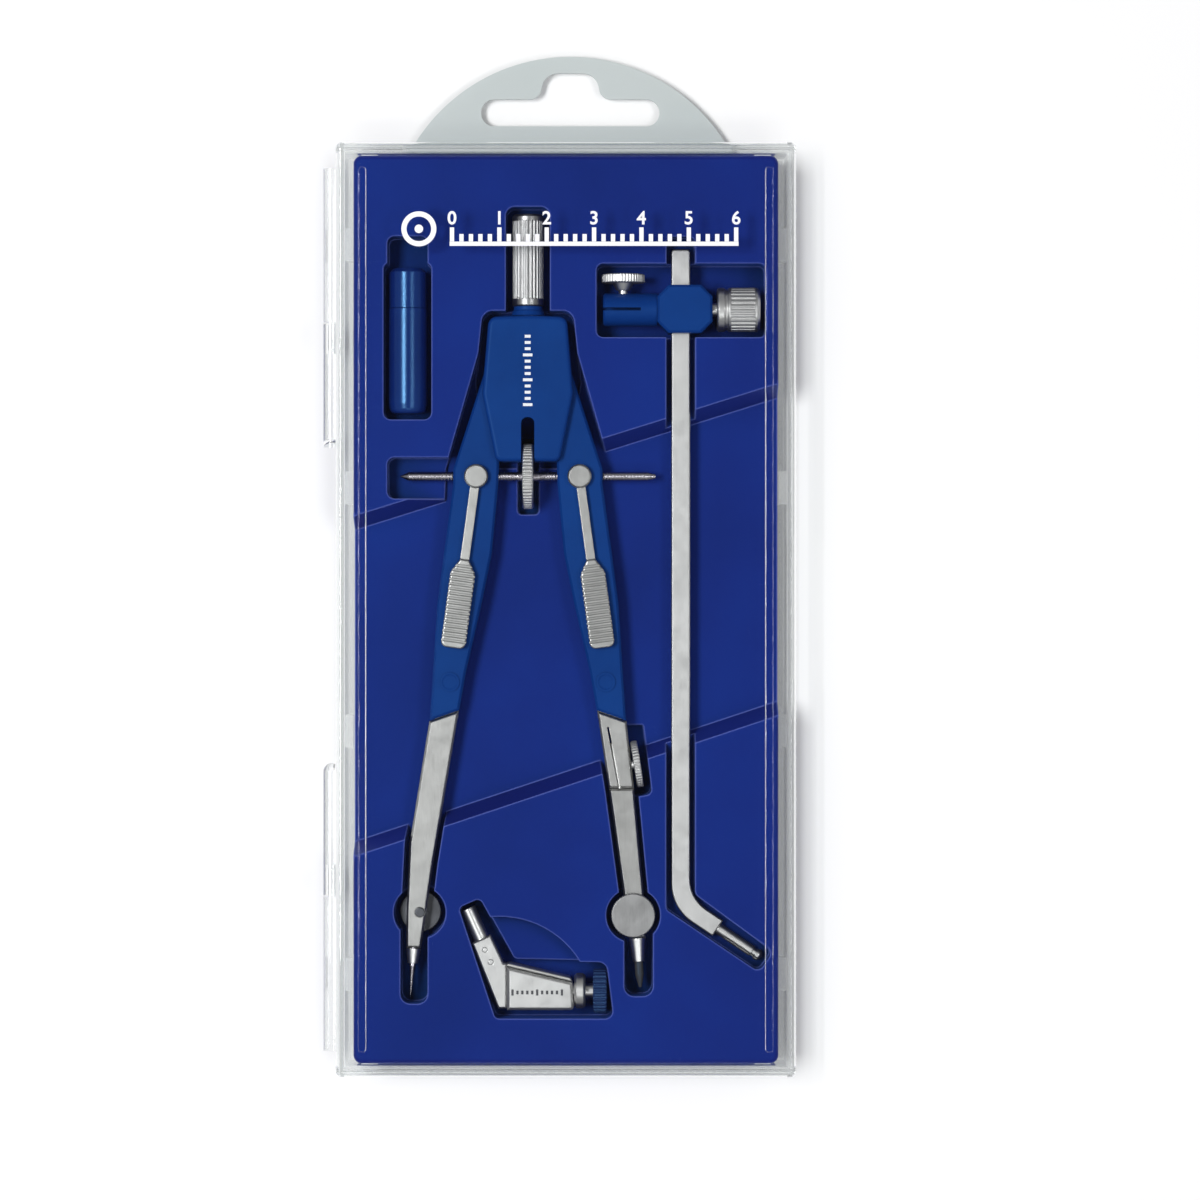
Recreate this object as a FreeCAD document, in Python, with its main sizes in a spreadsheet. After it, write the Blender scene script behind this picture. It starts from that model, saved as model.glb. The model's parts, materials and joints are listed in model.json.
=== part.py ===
import FreeCAD, Part
import math
import os

import Sketcher
from FreeCAD import Placement, Rotation, Vector

# Drafting instrument case: a clear hinged box whose formed tray holds a quick-set bow
# compass, an extension bar with its slider, an adapter for pens and a tube of leads.
#
# Frame: origin at the centre of the case's bottom face, +X away from the hinge,
# +Y towards the hang tab, +Z up through the lid.  All lengths are in millimetres.

SIZES = {
    # case shells
    "case_width": 98.5,
    "case_length": 199.0,
    "parting_height": 11.0,
    "lid_height": 10.4,
    "rail_height": 0.6,
    "rail_width": 1.7,
    "rail_length": 187.0,
    "rail_spacing": 86.0,
    "side_wall": 1.95,
    "end_wall": 2.2,
    "base_floor": 1.6,
    "ledge_spacing": 52.0,
    "ledge_width": 7.0,
    "ledge_reach": 3.0,
    "rib_drop": 1.6,
    "tab_rail_width": 1.2,
    "tab_rail_lap": 1.0,
    "tab_lip": 0.6,
    "lid_plate": 1.8,
    "draft_angle": 3.9,
    "case_edge_radius": 1.2,
    "corner_block": 4.5,
    "end_recess": 0.7,
    "tongue_rise": 1.2,
    "tongue_thickness": 0.7,
    "tongue_gap": 0.15,
    "thumb_notch_length": 31.0,
    "thumb_notch_depth": 0.7,
    # case hinge
    "hinge_offset": 50.0,
    "knuckle_radius": 1.8,
    "knuckle_gap": 0.25,
    "hinge_pin_radius": 0.8,
    "hinge_pin_length": 6.0,
    "hinge_fit": 0.05,
    "lid_knuckle_start": 32.8,
    "lid_knuckle_end": 61.0,
    "base_knuckle_start": 61.3,
    "base_knuckle_end": 94.1,
    # hang tab
    "tab_radius": 39.3,
    "tab_centre_x": 0.85,
    "tab_centre_y": 79.67,
    "tab_thickness": 0.9,
    "tab_base_width": 77.0,
    "tab_base_end": 60.0,
    "tab_travel": 18.5,
    "tab_gap": 0.05,
    "tab_slot_width": 71.6,
    "tab_slot_rise": 1.15,
    "tab_shoulder": 96.3,
    "hole_width": 38.4,
    "hole_height": 5.8,
    "hole_bottom": 104.0,
    "hole_bump_width": 11.0,
    "hole_bump_top": 115.4,
    # formed tray
    "tray_width": 90.4,
    "tray_length": 193.2,
    "tray_top": 14.5,
    "tray_skin": 0.8,
    "skirt_bottom": 3.8,
    "tray_corner": 1.8,
    "tray_rim_radius": 1.0,
    "band_floor": 8.0,
    "band_lean": 2.8,
    "finger_floor": 9.5,
    # compass: spindle centre in the case frame
    "compass_x": -8.1,
    "compass_y": 28.37,
    "tool_plane": 11.5,
    "pivot_u": 3.8,
    "pivot_v": 24.0,
    "pivot_radius": 1.5,
    "hub_radius": 3.55,
    "leg_thickness": 4.4,
    "leg_chamfer": 0.5,
    "head_gap": 0.1,
    "cap_thickness": 2.3,
    "fork_gap": 2.2,
    "tongue_blade": 2.0,
    "lower_leg_thickness": 3.6,
    "lower_leg_chamfer": 0.45,
    "knee_u": 16.6,
    "knee_v": 43.8,
    "knee_bore": 1.53,
    "needle_screw_u": 23.0,
    "needle_screw_v": 92.8,
    "needle_bore_u": 24.2,
    "needle_bore_v": 98.1,
    "needle_bore": 0.72,
    "needle_tilt": 3.9,
    "lead_screw_u": 22.4,
    "lead_screw_v": 93.4,
    "lead_bore_u": 23.1,
    "lead_bore_v": 95.2,
    "lead_bore": 0.92,
    "lead_tilt": 3.5,
    "socket_tilt": 9.0,
    "spindle_radius": 1.0,
    "spindle_reach": 27.2,
    "thread_pitch": 0.7,
    "thread_depth": 0.12,
    "wheel_radius": 6.95,
    "wheel_width": 2.3,
    "wheel_notches": 54,
    "nut_u": 11.0,
    "nut_radius": 2.0,
    "nut_bore": 1.3,
    "lever_angle": 7.7,
    "lever_knob_radius": 2.55,
    "lever_bar_width": 1.9,
    "lever_pad_start": 17.9,
    "lever_pad_end": 36.85,
    "lever_pad_width": 5.3,
    "lever_pad_thickness": 2.1,
    "lever_bar_thickness": 1.3,
    "lever_knob_thickness": 1.7,
    "lever_shoulder": 3.0,
    "lever_groove_depth": 0.7,
    "lever_rib_pitch": 1.0,
    "lever_rib_count": 17,
    "handle_radius": 3.3,
    "handle_length": 19.6,
    "handle_start": 36.2,
    "handle_flutes": 26,
    "screw_radius": 1.0,
    "screw_fit": 0.06,
    "knurl_count": 44,
    # extension bar and slider
    "bar_x": 24.45,
    "bar_top": 76.7,
    "bar_width": 4.0,
    "bar_thickness": 2.4,
    "bar_bend_y": -62.6,
    "bar_bend_angle": 56.0,
    "bar_bend_radius": 10.0,
    "bar_tail": 9.5,
    "spigot_radius": 1.2,
    "spigot_length": 11.3,
    "slider_x": 25.3,
    "slider_y": 63.9,
    "slider_width": 11.7,
    "slider_length": 10.2,
    "slider_depth": 8.6,
    "slider_chamfer": 2.4,
    "slider_play": 0.12,
    "slider_socket_radius": 3.5,
    "slider_socket_bore": 1.9,
    "slider_socket_end": 7.9,
    "lock_knob_radius": 4.7,
    "lock_knob_length": 9.15,
    "lock_knob_flutes": 28,
    "lock_stud_radius": 1.5,
    # adapter
    "adapter_thickness": 6.4,
    "adapter_arm_thickness": 4.2,
    "adapter_axis_y": -81.25,
    "adapter_collar_radius": 3.75,
    "adapter_nut_radius": 4.7,
    "adapter_nut_width": 2.9,
    "adapter_nut_notches": 26,
    "adapter_rivet_radius": 0.52,
    "adapter_screw_radius": 1.5,
    # lead tube
    "tube_x": -33.7,
    "tube_radius": 4.05,
    "tube_bore": 3.25,
    "tube_bottom": 41.7,
    "tube_joint": 64.1,
    "tube_top": 72.65,
    "spare_lead_radius": 1.0,
}

doc = FreeCAD.newDocument("drafting_instrument_case")
sheet = doc.addObject("Spreadsheet::Sheet", "dims")
for row, (alias, value) in enumerate(SIZES.items(), start=1):
    sheet.set(f"A{row}", alias)
    sheet.set(f"B{row}", str(value))
    sheet.setAlias(f"B{row}", alias)
doc.recompute()

sub_parts = []


def size(alias):
    """One driving dimension, read from the spreadsheet."""
    return float(getattr(sheet, alias))


# ---------------------------------------------------------------- drawing helpers

def origin_plane(body, role):
    return next(item for item in body.Origin.OriginFeatures if item.Role == role)


def new_body(label, placement=None):
    """A PartDesign body that becomes the node of the same name."""
    body = doc.addObject("PartDesign::Body", label)
    body.Label = label
    if placement is not None:
        body.Placement = placement
    sub_parts.append(body)
    return body


def attach(feature, body, role, at, turn=None):
    """Attach to an origin plane of the body, moved by the three expressions in at."""
    feature.AttachmentSupport = [(origin_plane(body, role), "")]
    feature.MapMode = "FlatFace"
    if turn is not None:
        feature.AttachmentOffset = Placement(Vector(), turn)
    for axis, expression in zip("xyz", at):
        if expression != "0":
            feature.setExpression(f"AttachmentOffset.Base.{axis}", expression)


def new_sketch(body, name, at=("0", "0", "0"), role="XY_Plane"):
    sketch = body.newObject("Sketcher::SketchObject", name)
    attach(sketch, body, role, at)
    return sketch


def rectangle(sketch, width, length):
    """Rectangle centred on the sketch's origin, with sizes bound to two expressions."""
    first = sketch.GeometryCount
    corners = [(-1, -1), (1, -1), (1, 1), (-1, 1)]
    for index, (x, y) in enumerate(corners):
        next_x, next_y = corners[(index + 1) % 4]
        sketch.addGeometry(Part.LineSegment(Vector(x, y, 0), Vector(next_x, next_y, 0)))
    for index in range(4):
        following = first + (index + 1) % 4
        sketch.addConstraint(Sketcher.Constraint("Coincident", first + index, 2, following, 1))
    for index in (0, 2):
        sketch.addConstraint(Sketcher.Constraint("Horizontal", first + index))
        sketch.addConstraint(Sketcher.Constraint("Vertical", first + index + 1))
    sketch.addConstraint(Sketcher.Constraint("Symmetric", first, 1, first + 2, 1, -1, 1))
    across = sketch.addConstraint(Sketcher.Constraint("DistanceX", first, 1, first, 2, 2.0))
    along = sketch.addConstraint(Sketcher.Constraint("DistanceY", first + 1, 1, first + 1, 2, 2.0))
    sketch.setExpression(f"Constraints[{across}]", width)
    sketch.setExpression(f"Constraints[{along}]", length)
    return sketch


def rounded(points, radius=0.0):
    """Curves of a closed outline; a point (x, y, r) has its own corner radius."""
    corners = [Vector(point[0], point[1], 0) for point in points]
    radii = [point[2] if len(point) > 2 else radius for point in points]
    count = len(corners)
    starts = []
    ends = []
    bends = []
    for index, corner in enumerate(corners):
        before = corners[index - 1] - corner
        after = corners[(index + 1) % count] - corner
        half_angle = before.getAngle(after) / 2
        room = 0.49 * min(before.Length, after.Length)
        reach = min(radii[index] / math.tan(half_angle), room)
        before.normalize()
        after.normalize()
        starts.append(corner + before * reach)
        ends.append(corner + after * reach)
        if reach < 1e-6:
            bends.append(None)
            continue
        middle = (before + after).normalize()
        arc_radius = reach * math.tan(half_angle)
        bends.append(corner + middle * (arc_radius / math.sin(half_angle) - arc_radius))
    curves = []
    for index in range(count):
        if bends[index] is not None:
            curves.append(Part.Arc(starts[index], bends[index], ends[index]))
        curves.append(Part.LineSegment(ends[index], starts[(index + 1) % count]))
    return curves


def box_points(left, right, bottom, top):
    return [(left, bottom), (right, bottom), (right, top), (left, top)]


def mirrored(points, side):
    """The outline for one side of the compass: side is -1 for left, +1 for right."""
    return [(side * point[0],) + tuple(point[1:]) for point in points]


def draw(sketch, *outlines):
    for outline in outlines:
        sketch.addGeometry(outline, False)
    return sketch


def pad(body, sketch, length, reverse=False, taper=0.0):
    feature = body.newObject("PartDesign::Pad", "pad")
    feature.Profile = sketch
    feature.Reversed = reverse
    feature.TaperAngle = taper
    feature.setExpression("Length", length)
    sketch.Visibility = False
    return feature


def pocket(body, sketch, depth, reverse=False, taper=0.0):
    """Cut below the sketch, or above it when reversed."""
    feature = body.newObject("PartDesign::Pocket", "pocket")
    feature.Profile = sketch
    feature.Reversed = reverse
    feature.TaperAngle = taper
    feature.setExpression("Length", depth)
    sketch.Visibility = False
    return feature


def primitive(body, kind, lengths, at=("0", "0", "0"), turn=None, role="XY_Plane"):
    """A PartDesign primitive such as AdditiveCylinder, with each length an expression."""
    feature = body.newObject(f"PartDesign::{kind}", kind.lower())
    attach(feature, body, role, at, turn)
    for name, expression in lengths.items():
        feature.setExpression(name, expression)
    return feature


def cylinder(body, radius, height, at=("0", "0", "0"), turn=None, cut=False):
    kind = "SubtractiveCylinder" if cut else "AdditiveCylinder"
    return primitive(body, kind, {"Radius": radius, "Height": height}, at, turn)


def cone(body, low_radius, high_radius, height, at=("0", "0", "0"), turn=None):
    lengths = {"Radius1": low_radius, "Radius2": high_radius, "Height": height}
    return primitive(body, "AdditiveCone", lengths, at, turn)


def block(body, length, width, height, at, turn=None, cut=False):
    kind = "SubtractiveBox" if cut else "AdditiveBox"
    return primitive(body, kind, {"Length": length, "Width": width, "Height": height}, at, turn)


def revolve(body, outline):
    """Turn a profile, drawn as (radius, height) points, about the body's Z axis."""
    sketch = draw(new_sketch(body, "profile", role="XZ_Plane"), outline)
    feature = body.newObject("PartDesign::Revolution", "turned")
    feature.Profile = sketch
    feature.ReferenceAxis = (sketch, ["V_Axis"])
    feature.Angle = 360.0
    sketch.Visibility = False
    return feature


def ring_of(body, feature, count):
    """Repeat a cut evenly about the body's Z axis; count is an expression."""
    pattern = body.newObject("PartDesign::PolarPattern", "ring")
    pattern.Originals = [feature]
    pattern.Axis = (origin_plane(body, "Z_Axis"), [""])
    pattern.Angle = 360.0
    pattern.setExpression("Occurrences", count)
    body.Tip = pattern
    return pattern


def soften(body, edge_test, width, kind="Fillet"):
    """Fillet or chamfer the edges of the tip whose bounding box passes edge_test."""
    doc.recompute()
    base = body.Tip
    names = [
        f"Edge{index}"
        for index, edge in enumerate(base.Shape.Edges, start=1)
        if edge_test(edge.BoundBox)
    ]
    feature = body.newObject(f"PartDesign::{kind}", kind.lower())
    feature.Base = (base, names)
    name = "Radius" if kind == "Fillet" else "Size"
    feature.setExpression(name, width)
    return feature


def on_level(level):
    return lambda box: abs(box.ZMin - level) < 1e-4 and abs(box.ZMax - level) < 1e-4


def on_levels(*levels):
    return lambda box: any(on_level(level)(box) for level in levels)


def part_cylinder(name, radius, height, at, turn=None):
    """A Part::Cylinder with bound radius and height."""
    item = doc.addObject("Part::Cylinder", name)
    item.setExpression("Radius", radius)
    item.setExpression("Height", height)
    item.Placement = Placement(Vector(*at), turn or Rotation())
    return item


def group_of(label, items, placement=None):
    """Identical small pieces that share one node."""
    group = doc.addObject("Part::Compound", label)
    group.Label = label
    group.Links = items
    if placement is not None:
        group.Placement = placement
    sub_parts.append(group)
    return group


ABOUT_X = Vector(1, 0, 0)
ABOUT_Y = Vector(0, 1, 0)
ABOUT_Z = Vector(0, 0, 1)
ALONG_X = Rotation(ABOUT_Y, 90)
ALONG_MINUS_X = Rotation(ABOUT_Y, -90)
ALONG_Y = Rotation(ABOUT_X, -90)
ALONG_MINUS_Y = Rotation(ABOUT_X, 90)

# The compass is drawn in its own plane: u across, v towards the handle and w up,
# measured from the middle of its spindle.
COMPASS = Vector(size("compass_x"), size("compass_y"), size("tool_plane"))
COMPASS_PLACE = Placement(COMPASS, Rotation())


def at_compass(u, v, w=0.0, turn=None):
    return Placement(COMPASS + Vector(u, v, w), turn or Rotation())


# ---------------------------------------------------------------- case shells

BASE_KNUCKLE_LENGTH = "dims.base_knuckle_end - dims.base_knuckle_start"
LID_KNUCKLE_LENGTH = "dims.lid_knuckle_end - dims.lid_knuckle_start"
INNER_WIDTH = "dims.case_width - 2 * dims.side_wall"
INNER_LENGTH = "dims.case_length - 2 * dims.end_wall"
TAB_LEVEL = "dims.base_floor + dims.tab_gap"


def shell_block(body, height, hollow, going_down):
    """Drafted tray-shaped shell that is widest at the parting line."""
    draft = size("draft_angle")
    level = ("0", "0", "dims.parting_height")
    outside = rectangle(new_sketch(body, "outside", level), "dims.case_width", "dims.case_length")
    pad(body, outside, height, reverse=going_down, taper=-draft)
    top = size("parting_height") + (-size("parting_height") if going_down else size("lid_height"))
    soften(body, lambda box: min(abs(box.ZMin - top), abs(box.ZMax - top)) < 1e-4,
           "dims.case_edge_radius")
    inside = rectangle(new_sketch(body, "inside", level), INNER_WIDTH, INNER_LENGTH)
    pocket(body, inside, hollow, reverse=not going_down, taper=-draft)
    recess_width = "dims.case_width - 2 * dims.corner_block"
    for end, shift in (("top", "dims.case_length / 2"), ("bottom", "-dims.case_length / 2")):
        at = ("0", shift, "dims.parting_height")
        recess = rectangle(new_sketch(body, f"{end}_recess", at), recess_width, "2 * dims.end_recess")
        pocket(body, recess, height, reverse=not going_down)


def knuckle_pair(body, radius, start, end, gap="0", cut=False):
    """Two hinge barrels, or their clearance cuts, one towards each end of the case."""
    level = "dims.parting_height"
    length = f"({end}) - ({start}) + 2 * {gap}"
    for near in (f"({start}) - {gap}", f"-({end}) - {gap}"):
        cylinder(body, radius, length, ("-dims.hinge_offset", near, level), ALONG_Y, cut)


def base_shell():
    body = new_body("base_shell")
    shell_block(body, "dims.parting_height", "dims.parting_height - dims.base_floor", True)
    half_length = size("case_length") / 2
    half_width = size("case_width") / 2
    inner_x = half_width - size("side_wall")
    inner_y = half_length - size("end_wall")

    # tongue that the lid's rebate drops over, on the two ends and the opening side
    thick = size("tongue_thickness")
    left = -inner_x + 1.0
    tongue = [
        (left, -inner_y - thick), (inner_x + thick, -inner_y - thick),
        (inner_x + thick, inner_y + thick), (left, inner_y + thick),
        (left, inner_y), (inner_x, inner_y), (inner_x, -inner_y), (left, -inner_y),
    ]
    level = ("0", "0", "dims.parting_height")
    pad(body, draw(new_sketch(body, "tongue", level), rounded(tongue)), "dims.tongue_rise")

    # thumb notch below the parting line on the opening side
    notch_at = ("dims.case_width / 2", "0", "dims.parting_height")
    notch = rectangle(new_sketch(body, "thumb_notch", notch_at),
                      "2 * dims.thumb_notch_depth", "dims.thumb_notch_length")
    pocket(body, notch, "dims.parting_height * 0.55")

    # ledges carry the tray's skirt and the taller ribs keep it centred
    reach = size("ledge_reach")
    clearance = 0.2
    rib_reach = inner_x - size("tray_width") / 2 - clearance
    end_reach = inner_y - size("tray_length") / 2 - clearance
    sink = 0.4
    width = size("ledge_width")
    spacing = size("ledge_spacing")
    end_ledge_x = 42.0
    ledges = []
    ribs = []
    for side in (-1, 1):
        for y in (-1.5 * spacing, -0.5 * spacing, 0.5 * spacing, 1.5 * spacing):
            inner = sorted((side * (inner_x + sink), side * (inner_x - reach)))
            ledges.append(rounded(box_points(*inner, y - width / 2, y + width / 2)))
            inner = sorted((side * (inner_x + sink), side * (inner_x - rib_reach)))
            ribs.append(rounded(box_points(*inner, y - width / 2, y + width / 2)))
        for x in (-end_ledge_x, end_ledge_x):
            inner = sorted((side * (inner_y + sink), side * (inner_y - reach)))
            ledges.append(rounded(box_points(x - width / 4, x + width / 4, *inner)))
            inner = sorted((side * (inner_y + sink), side * (inner_y - end_reach)))
            ribs.append(rounded(box_points(x - width / 4, x + width / 4, *inner)))
    bottom = ("0", "0", "dims.base_floor - 0.2")
    ledge_height = "dims.skirt_bottom - dims.base_floor + 0.2"
    pad(body, draw(new_sketch(body, "ledges", bottom), *ledges), ledge_height)
    rib_height = "dims.parting_height - dims.base_floor + 0.2 - dims.rib_drop"
    pad(body, draw(new_sketch(body, "ribs", bottom), *ribs), rib_height)

    # slot for the hang tab, and the floor rails that guide it
    slot_at = ("dims.tab_centre_x - dims.tab_slot_width / 2", "dims.case_length / 2 - 5",
               "dims.base_floor")
    block(body, "dims.tab_slot_width", "10", "dims.tab_slot_rise", slot_at, cut=True)
    rails = []
    lips = []
    rail_near = size("tab_base_width") / 2 + 0.2
    rail_far = rail_near + size("tab_rail_width")
    lip_near = rail_near - size("tab_rail_lap")
    rail_ends = (size("tab_base_end") - size("tab_travel") - 1.5, inner_y - 0.5)
    x = size("tab_centre_x")
    for side in (-1, 1):
        outer = sorted((x + side * rail_near, x + side * rail_far))
        rails.append(rounded(box_points(*outer, *rail_ends)))
        outer = sorted((x + side * lip_near, x + side * rail_far))
        lips.append(rounded(box_points(*outer, *rail_ends)))
    rail_height = "dims.tab_thickness + 0.35 + dims.tab_lip"
    pad(body, draw(new_sketch(body, "rails", bottom), *rails), rail_height)
    lip_level = ("0", "0", "dims.base_floor + dims.tab_thickness + 0.35")
    pad(body, draw(new_sketch(body, "lips", lip_level), *lips), "dims.tab_lip")

    # hinge barrels with the stub pins that the lid turns on
    clearance = "dims.knuckle_radius + dims.knuckle_gap"
    knuckle_pair(body, clearance, "dims.lid_knuckle_start", "dims.lid_knuckle_end",
                 "dims.knuckle_gap", cut=True)
    knuckle_pair(body, "dims.knuckle_radius", "dims.base_knuckle_start", "dims.base_knuckle_end")
    pin_start = "dims.base_knuckle_start - dims.hinge_pin_length"
    knuckle_pair(body, "dims.hinge_pin_radius", pin_start, "dims.base_knuckle_start + 1")


def lid_shell():
    body = new_body("lid_shell")
    shell_block(body, "dims.lid_height", "dims.lid_height - dims.lid_plate", False)
    half_width = size("case_width") / 2
    inner_x = half_width - size("side_wall")
    inner_y = size("case_length") / 2 - size("end_wall")

    # rebate over the base's tongue
    room = size("tongue_thickness") + size("tongue_gap")
    level = ("0", "0", "dims.parting_height")
    rebate = box_points(-inner_x, inner_x + room, -inner_y - room, inner_y + room)
    pocket(body, draw(new_sketch(body, "rebate", level), rounded(rebate)),
           "dims.tongue_rise + dims.tongue_gap", reverse=True)

    # two raised rails along the top
    top = ("0", "0", "dims.parting_height + dims.lid_height")
    rails = []
    for side in (-1, 1):
        x = side * size("rail_spacing") / 2
        half = size("rail_width") / 2
        rail = box_points(x - half, x + half, -size("rail_length") / 2, size("rail_length") / 2)
        rails.append(rounded(rail, half * 0.95))
    pad(body, draw(new_sketch(body, "rails", top), *rails), "dims.rail_height")
    soften(body, on_level(size("parting_height") + size("lid_height") + size("rail_height")), "0.25")

    # hinge: room for the base's barrels, then the lid's own with their bores
    clearance = "dims.knuckle_radius + dims.knuckle_gap"
    knuckle_pair(body, clearance, "dims.base_knuckle_start", "dims.base_knuckle_end",
                 "dims.knuckle_gap", cut=True)
    knuckle_pair(body, "dims.knuckle_radius", "dims.lid_knuckle_start + dims.knuckle_radius",
                 "dims.lid_knuckle_end")
    for sign in ("", "-"):
        end = f"{sign}(dims.lid_knuckle_start + dims.knuckle_radius)"
        primitive(body, "AdditiveSphere", {"Radius": "dims.knuckle_radius"},
                  ("-dims.hinge_offset", end, "dims.parting_height"))
    bore = "dims.hinge_pin_radius + dims.hinge_fit"
    bore_start = "dims.lid_knuckle_end - dims.hinge_pin_length - 0.5"
    knuckle_pair(body, bore, bore_start, "dims.lid_knuckle_end + 1", cut=True)


def hang_tab():
    body = new_body("hang_tab")
    centre_x = size("tab_centre_x")
    centre_y = size("tab_centre_y")
    radius = size("tab_radius")
    shoulder_y = size("tab_shoulder")
    half_neck = math.sqrt(radius ** 2 - (shoulder_y - centre_y) ** 2)
    half_base = size("tab_base_width") / 2
    right_neck = Vector(centre_x + half_neck, shoulder_y, 0)
    left_neck = Vector(centre_x - half_neck, shoulder_y, 0)
    corners = [
        left_neck,
        Vector(centre_x - half_base, shoulder_y, 0),
        Vector(centre_x - half_base, size("tab_base_end"), 0),
        Vector(centre_x + half_base, size("tab_base_end"), 0),
        Vector(centre_x + half_base, shoulder_y, 0),
        right_neck,
    ]
    outline = [Part.Arc(right_neck, Vector(centre_x, centre_y + radius, 0), left_neck)]
    outline += [Part.LineSegment(a, b) for a, b in zip(corners, corners[1:])]
    level = ("0", "0", TAB_LEVEL)
    pad(body, draw(new_sketch(body, "plate", level), outline), "dims.tab_thickness")

    # euro hole: a long slot with rounded ends and a peg bump at its middle
    half = size("hole_width") / 2
    bump = size("hole_bump_width") / 2
    low = size("hole_bottom")
    high = low + size("hole_height")
    end_radius = size("hole_height") / 2 * 0.98
    hole = [
        (centre_x - half, low, end_radius), (centre_x + half, low, end_radius),
        (centre_x + half, high, end_radius), (centre_x + bump + 1.2, high, 2.5),
        (centre_x + bump, size("hole_bump_top"), bump * 0.9),
        (centre_x - bump, size("hole_bump_top"), bump * 0.9),
        (centre_x - bump - 1.2, high, 2.5), (centre_x - half, high, end_radius),
    ]
    above = ("0", "0", f"{TAB_LEVEL} + dims.tab_thickness")
    pocket(body, draw(new_sketch(body, "euro_hole", above), rounded(hole)), "dims.tab_thickness")


# ---------------------------------------------------------------- formed tray

def prism(outline, low, high):
    """Solid between two levels from a closed wire drawn at z = 0."""
    solid = Part.Face(outline).extrude(Vector(0, 0, high - low))
    solid.translate(Vector(0, 0, low))
    return solid


def wire_of(curves):
    return Part.Wire([curve.toShape() for curve in curves])


def disc_outline(x, y, radius):
    return [Part.Circle(Vector(x, y, 0), ABOUT_Z, radius)]


def compass_pockets():
    """Outlines in the compass plane, each with its floor height in the case."""
    head = [(-9.6, 35.2, 2.5), (9.6, 35.2, 2.5), (11.2, 20.0), (8.6, 1.8), (-8.6, 1.8),
            (-11.2, 20.0)]
    hips = [(-10.3, 27.0), (10.3, 27.0), (17.6, 1.5, 2.0), (17.9, -9.0), (-17.9, -9.0),
            (-17.6, 1.5, 2.0)]
    needle_disc = disc_outline(-size("needle_screw_u"), -size("needle_screw_v"), 5.55)
    lead_disc = disc_outline(size("lead_screw_u"), -size("lead_screw_v"), 5.75)
    left_shin = [(-15.6, -60.0), (-19.2, -82.5), (-21.0, -97.0), (-27.0, -97.0), (-27.0, -94.0),
                 (-26.2, -78.0), (-23.4, -60.0)]
    right_shin = [(14.0, -52.0), (16.4, -66.4), (19.3, -88.0), (20.1, -97.0), (26.1, -97.0),
                  (25.5, -88.4), (23.4, -66.4), (21.7, -52.0)]
    side_screw = [(20.0, -53.0), (24.6, -53.0), (26.4, -67.6, 1.2), (22.2, -68.4)]
    return [
        (rounded(box_points(-4.7, 4.7, 30.0, 57.3), 2.0), 7.4),
        (rounded(head, 1.0), 6.4),
        (rounded(hips), 8.0),
        (rounded(box_points(-2.3, 2.3, -8.1, 8.1), 1.0), 3.6),
        (rounded(box_points(-29.9, -12.0, -4.8, 4.0), 1.6), 9.0),
        (rounded(left_shin), 8.0),
        (needle_disc, 7.0),
        (rounded(box_points(-27.1, -21.3, -112.2, -94.0), 2.2), 7.0),
        (rounded(right_shin), 8.0),
        (rounded(side_screw, 0.5), 5.8),
        (lead_disc, 7.0),
        (rounded(box_points(20.5, 26.6, -110.6, -94.0), 2.2), 7.0),
    ]


def case_pockets():
    """Outlines in the case frame, each with its floor height."""
    bar = [(21.35, 79.3), (21.3, -63.8), (41.1, -77.1), (44.0, -72.7), (27.45, -60.6),
           (27.5, 79.3)]
    adapter = [(-22.8, -63.4), (-18.3, -61.4), (-11.0, -74.6), (8.6, -75.0, 2.0),
               (10.1, -87.0, 1.6), (-15.0, -87.0)]
    tube = size("tube_x")
    return [
        (rounded(bar, 1.5), 10.0),
        (rounded(box_points(6.5, 42.6, 57.9, 73.6), 1.5), 6.0),
        (rounded(adapter, 1.2), 6.0),
        (rounded(box_points(tube - 5.1, tube + 5.1, 40.4, 73.9), 1.6), 7.0),
        (rounded(box_points(tube - 4.3, tube + 4.3, 70.0, 79.4), 1.6), 7.0),
    ]


def finger_recess():
    """Curved hollow beside the adapter, for a fingertip."""
    start = Vector(-16.2, -65.4, 0)
    top = Vector(-5.6, -67.2, 0)
    end = Vector(3.6, -76.0, 0)
    corner = Vector(-12.0, -76.0, 0)
    arc = Part.Arc(start, top, end)
    return Part.Wire([arc.toShape(), Part.LineSegment(end, corner).toShape(),
                      Part.LineSegment(corner, start).toShape()])


def band(low, high, grow):
    """Slanting trough across the tray, its walls leaning outwards, grown by a margin."""
    edge = size("tray_width") / 2 + 2.0
    top_wire = [(-edge, 19.2), (-edge, -53.2), (edge, -21.8), (edge, 48.7)]
    depth = size("tray_top") - size("band_floor")

    def at_level(z):
        inset = size("band_lean") * (size("tray_top") - z) / depth - grow
        points = [(x, y - inset if y > 0 else y + inset) for x, y in top_wire]
        wire = wire_of(rounded(points))
        wire.translate(Vector(0, 0, z))
        return wire

    return Part.makeLoft([at_level(low), at_level(high)], True, True)


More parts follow.
